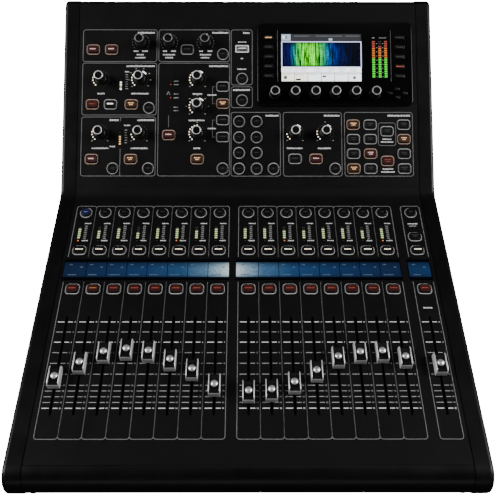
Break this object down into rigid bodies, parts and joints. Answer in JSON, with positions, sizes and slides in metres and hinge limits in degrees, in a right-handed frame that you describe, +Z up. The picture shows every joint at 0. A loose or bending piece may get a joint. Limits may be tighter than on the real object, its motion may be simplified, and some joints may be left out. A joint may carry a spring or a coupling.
{
  "type": "digital audio mixing console",
  "caption": "Compact desk-top mixing console with sliding faders, rotary knobs, sprung keys, light meters, a colour screen and rear audio sockets.",
  "frame": {"origin": "bottom centre of the overall box, on the surface the feet stand on", "axes": "+X to the operator's right, +Y towards the rear connector panel, +Z up"},
  "size_m": [0.478, 0.6176, 0.2069],
  "materials": {
    "panel_paint": "fine satin black powder coat",
    "cheek_paint": "satin black paint",
    "armrest_paint": "satin black paint",
    "bezel_gloss": "gloss black",
    "display_window": "polished",
    "meter_lens": "polished lens",
    "mechanism_steel": "plated",
    "board_laminate": "solder mask",
    "socket_shell": "black die-cast shell",
    "socket_plastic": "fine texture",
    "foot_rubber": "matt",
    "metal_trim": "brushed",
    "fader_plastic": "satin with silver edges",
    "knob_plastic": "soft matt with a silver ring",
    "key_plastic": "satin with a light ring"
  },
  "bodies": {
    "console": {"bottom_pan": "panel_paint", "side_cheek_left": "cheek_paint", "side_cheek_right": "cheek_paint", "front_armrest": "armrest_paint", "fader_panel": "panel_paint", "control_panel": "panel_paint", "rear_panel": "panel_paint", "display_bezel": "bezel_gloss", "display_screen": "display_window", "channel_displays": "display_window", "light_bar_meters": "meter_lens", "fader_mechanisms": "mechanism_steel", "circuit_boards": "board_laminate", "power_supply": "mechanism_steel", "xlr_sockets": "socket_shell", "data_sockets": "socket_shell", "mains_inlet": "socket_plastic", "rubber_feet": "foot_rubber", "panel_screws": "metal_trim"},
    "fader_01": {"fader_01": "fader_plastic"},
    "fader_02": {"fader_02": "fader_plastic"},
    "fader_03": {"fader_03": "fader_plastic"},
    "fader_04": {"fader_04": "fader_plastic"},
    "fader_05": {"fader_05": "fader_plastic"},
    "fader_06": {"fader_06": "fader_plastic"},
    "fader_07": {"fader_07": "fader_plastic"},
    "fader_08": {"fader_08": "fader_plastic"},
    "fader_09": {"fader_09": "fader_plastic"},
    "fader_10": {"fader_10": "fader_plastic"},
    "fader_11": {"fader_11": "fader_plastic"},
    "fader_12": {"fader_12": "fader_plastic"},
    "fader_13": {"fader_13": "fader_plastic"},
    "fader_14": {"fader_14": "fader_plastic"},
    "fader_15": {"fader_15": "fader_plastic"},
    "fader_16": {"fader_16": "fader_plastic"},
    "fader_main": {"fader_main": "fader_plastic"},
    "knob_talk_level": {"knob_talk_level": "knob_plastic"},
    "knob_monitor_level": {"knob_monitor_level": "knob_plastic"},
    "knob_phones_level": {"knob_phones_level": "knob_plastic"},
    "knob_preamp_gain": {"knob_preamp_gain": "knob_plastic"},
    "knob_low_cut": {"knob_low_cut": "knob_plastic"},
    "knob_gate_threshold": {"knob_gate_threshold": "knob_plastic"},
    "knob_dynamics_threshold": {"knob_dynamics_threshold": "knob_plastic"},
    "knob_eq_width": {"knob_eq_width": "knob_plastic"},
    "knob_eq_frequency": {"knob_eq_frequency": "knob_plastic"},
    "knob_eq_gain": {"knob_eq_gain": "knob_plastic"},
    "knob_mono_level": {"knob_mono_level": "knob_plastic"},
    "knob_pan": {"knob_pan": "knob_plastic"},
    "display_encoder_1": {"display_encoder_1": "knob_plastic"},
    "display_encoder_2": {"display_encoder_2": "knob_plastic"},
    "display_encoder_3": {"display_encoder_3": "knob_plastic"},
    "display_encoder_4": {"display_encoder_4": "knob_plastic"},
    "display_encoder_5": {"display_encoder_5": "knob_plastic"},
    "display_encoder_6": {"display_encoder_6": "knob_plastic"},
    "select_buttons": {"select_buttons": "key_plastic"},
    "solo_buttons": {"solo_buttons": "key_plastic"},
    "mute_buttons": {"mute_buttons": "key_plastic"},
    "panel_buttons": {"panel_buttons": "key_plastic"},
    "display_keys": {"display_keys": "key_plastic"},
    "power_switch_rocker": {"power_switch_rocker": "socket_plastic"}
  },
  "joints": [
    {"name": "fader_01_slide", "type": "slide", "parent": "console", "child": "fader_01", "axis": [0, 0.9986, 0.0523], "range_m": [-0.0322, 0.0678]},
    {"name": "fader_02_slide", "type": "slide", "parent": "console", "child": "fader_02", "axis": [0, 0.9986, 0.0523], "range_m": [-0.0482, 0.0518]},
    {"name": "fader_03_slide", "type": "slide", "parent": "console", "child": "fader_03", "axis": [0, 0.9986, 0.0523], "range_m": [-0.0604, 0.0396]},
    {"name": "fader_04_slide", "type": "slide", "parent": "console", "child": "fader_04", "axis": [0, 0.9986, 0.0523], "range_m": [-0.0638, 0.0362]},
    {"name": "fader_05_slide", "type": "slide", "parent": "console", "child": "fader_05", "axis": [0, 0.9986, 0.0523], "range_m": [-0.0614, 0.0386]},
    {"name": "fader_06_slide", "type": "slide", "parent": "console", "child": "fader_06", "axis": [0, 0.9986, 0.0523], "range_m": [-0.0515, 0.0485]},
    {"name": "fader_07_slide", "type": "slide", "parent": "console", "child": "fader_07", "axis": [0, 0.9986, 0.0523], "range_m": [-0.0405, 0.0595]},
    {"name": "fader_08_slide", "type": "slide", "parent": "console", "child": "fader_08", "axis": [0, 0.9986, 0.0523], "range_m": [-0.0233, 0.0767]},
    {"name": "fader_09_slide", "type": "slide", "parent": "console", "child": "fader_09", "axis": [0, 0.9986, 0.0523], "range_m": [-0.0161, 0.0839]},
    {"name": "fader_10_slide", "type": "slide", "parent": "console", "child": "fader_10", "axis": [0, 0.9986, 0.0523], "range_m": [-0.0175, 0.0825]},
    {"name": "fader_11_slide", "type": "slide", "parent": "console", "child": "fader_11", "axis": [0, 0.9986, 0.0523], "range_m": [-0.0256, 0.0744]},
    {"name": "fader_12_slide", "type": "slide", "parent": "console", "child": "fader_12", "axis": [0, 0.9986, 0.0523], "range_m": [-0.0387, 0.0613]},
    {"name": "fader_13_slide", "type": "slide", "parent": "console", "child": "fader_13", "axis": [0, 0.9986, 0.0523], "range_m": [-0.0545, 0.0455]},
    {"name": "fader_14_slide", "type": "slide", "parent": "console", "child": "fader_14", "axis": [0, 0.9986, 0.0523], "range_m": [-0.0598, 0.0402]},
    {"name": "fader_15_slide", "type": "slide", "parent": "console", "child": "fader_15", "axis": [0, 0.9986, 0.0523], "range_m": [-0.0609, 0.0391]},
    {"name": "fader_16_slide", "type": "slide", "parent": "console", "child": "fader_16", "axis": [0, 0.9986, 0.0523], "range_m": [-0.0544, 0.0456]},
    {"name": "fader_main_slide", "type": "slide", "parent": "console", "child": "fader_main", "axis": [0, 0.9986, 0.0523], "range_m": [-0.0466, 0.0534]},
    {"name": "knob_talk_level_turn", "type": "hinge", "parent": "console", "child": "knob_talk_level", "pos_m": [-0.139, 0.21525, 0.18392], "axis": [0, 0.5503, -0.835], "range_deg": [-150, 150]},
    {"name": "knob_monitor_level_turn", "type": "hinge", "parent": "console", "child": "knob_monitor_level", "pos_m": [-0.1021, 0.21525, 0.18392], "axis": [0, 0.5503, -0.835], "range_deg": [-150, 150]},
    {"name": "knob_phones_level_turn", "type": "hinge", "parent": "console", "child": "knob_phones_level", "pos_m": [-0.0551, 0.21525, 0.18392], "axis": [0, 0.5503, -0.835], "range_deg": [-150, 150]},
    {"name": "knob_preamp_gain_turn", "type": "hinge", "parent": "console", "child": "knob_preamp_gain", "pos_m": [-0.19, 0.17458, 0.15712], "axis": [0, 0.5503, -0.835], "continuous": true},
    {"name": "knob_low_cut_turn", "type": "hinge", "parent": "console", "child": "knob_low_cut", "pos_m": [-0.1397, 0.17458, 0.15712], "axis": [0, 0.5503, -0.835], "continuous": true},
    {"name": "knob_gate_threshold_turn", "type": "hinge", "parent": "console", "child": "knob_gate_threshold", "pos_m": [-0.1897, 0.11488, 0.11778], "axis": [0, 0.5503, -0.835], "continuous": true},
    {"name": "knob_dynamics_threshold_turn", "type": "hinge", "parent": "console", "child": "knob_dynamics_threshold", "pos_m": [-0.1395, 0.11488, 0.11778], "axis": [0, 0.5503, -0.835], "continuous": true},
    {"name": "knob_eq_width_turn", "type": "hinge", "parent": "console", "child": "knob_eq_width", "pos_m": [-0.065, 0.17458, 0.15712], "axis": [0, 0.5503, -0.835], "continuous": true},
    {"name": "knob_eq_frequency_turn", "type": "hinge", "parent": "console", "child": "knob_eq_frequency", "pos_m": [-0.065, 0.14436, 0.1372], "axis": [0, 0.5503, -0.835], "continuous": true},
    {"name": "knob_eq_gain_turn", "type": "hinge", "parent": "console", "child": "knob_eq_gain", "pos_m": [-0.065, 0.11488, 0.11778], "axis": [0, 0.5503, -0.835], "continuous": true},
    {"name": "knob_mono_level_turn", "type": "hinge", "parent": "console", "child": "knob_mono_level", "pos_m": [0.0605, 0.1153, 0.11805], "axis": [0, 0.5503, -0.835], "continuous": true},
    {"name": "knob_pan_turn", "type": "hinge", "parent": "console", "child": "knob_pan", "pos_m": [0.0994, 0.1153, 0.11805], "axis": [0, 0.5503, -0.835], "continuous": true},
    {"name": "display_encoder_1_turn", "type": "hinge", "parent": "console", "child": "display_encoder_1", "pos_m": [0.0347, 0.1568, 0.1454], "axis": [0, 0.5503, -0.835], "continuous": true},
    {"name": "display_encoder_2_turn", "type": "hinge", "parent": "console", "child": "display_encoder_2", "pos_m": [0.0605, 0.1568, 0.1454], "axis": [0, 0.5503, -0.835], "continuous": true},
    {"name": "display_encoder_3_turn", "type": "hinge", "parent": "console", "child": "display_encoder_3", "pos_m": [0.0863, 0.1568, 0.1454], "axis": [0, 0.5503, -0.835], "continuous": true},
    {"name": "display_encoder_4_turn", "type": "hinge", "parent": "console", "child": "display_encoder_4", "pos_m": [0.1121, 0.1568, 0.1454], "axis": [0, 0.5503, -0.835], "continuous": true},
    {"name": "display_encoder_5_turn", "type": "hinge", "parent": "console", "child": "display_encoder_5", "pos_m": [0.1376, 0.1568, 0.1454], "axis": [0, 0.5503, -0.835], "continuous": true},
    {"name": "display_encoder_6_turn", "type": "hinge", "parent": "console", "child": "display_encoder_6", "pos_m": [0.163, 0.1568, 0.1454], "axis": [0, 0.5503, -0.835], "continuous": true},
    {"name": "select_buttons_press", "type": "slide", "parent": "console", "child": "select_buttons", "axis": [0, 0.0523, -0.9986], "range_m": [0, 0.001], "stiffness_N_per_m": 3000},
    {"name": "solo_buttons_press", "type": "slide", "parent": "console", "child": "solo_buttons", "axis": [0, 0.0523, -0.9986], "range_m": [0, 0.001], "stiffness_N_per_m": 3000},
    {"name": "mute_buttons_press", "type": "slide", "parent": "console", "child": "mute_buttons", "axis": [0, 0.0523, -0.9986], "range_m": [0, 0.001], "stiffness_N_per_m": 3000},
    {"name": "panel_buttons_press", "type": "slide", "parent": "console", "child": "panel_buttons", "axis": [0, 0.5503, -0.835], "range_m": [0, 0.001], "stiffness_N_per_m": 5000},
    {"name": "display_keys_press", "type": "slide", "parent": "console", "child": "display_keys", "axis": [0, 0.5503, -0.835], "range_m": [0, 0.001], "stiffness_N_per_m": 2000},
    {"name": "power_switch_tip", "type": "hinge", "parent": "console", "child": "power_switch_rocker", "pos_m": [-0.166, 0.29384, 0.08363], "axis": [0, 0.1775, -0.9841], "range_deg": [0, 14]}
  ]
}
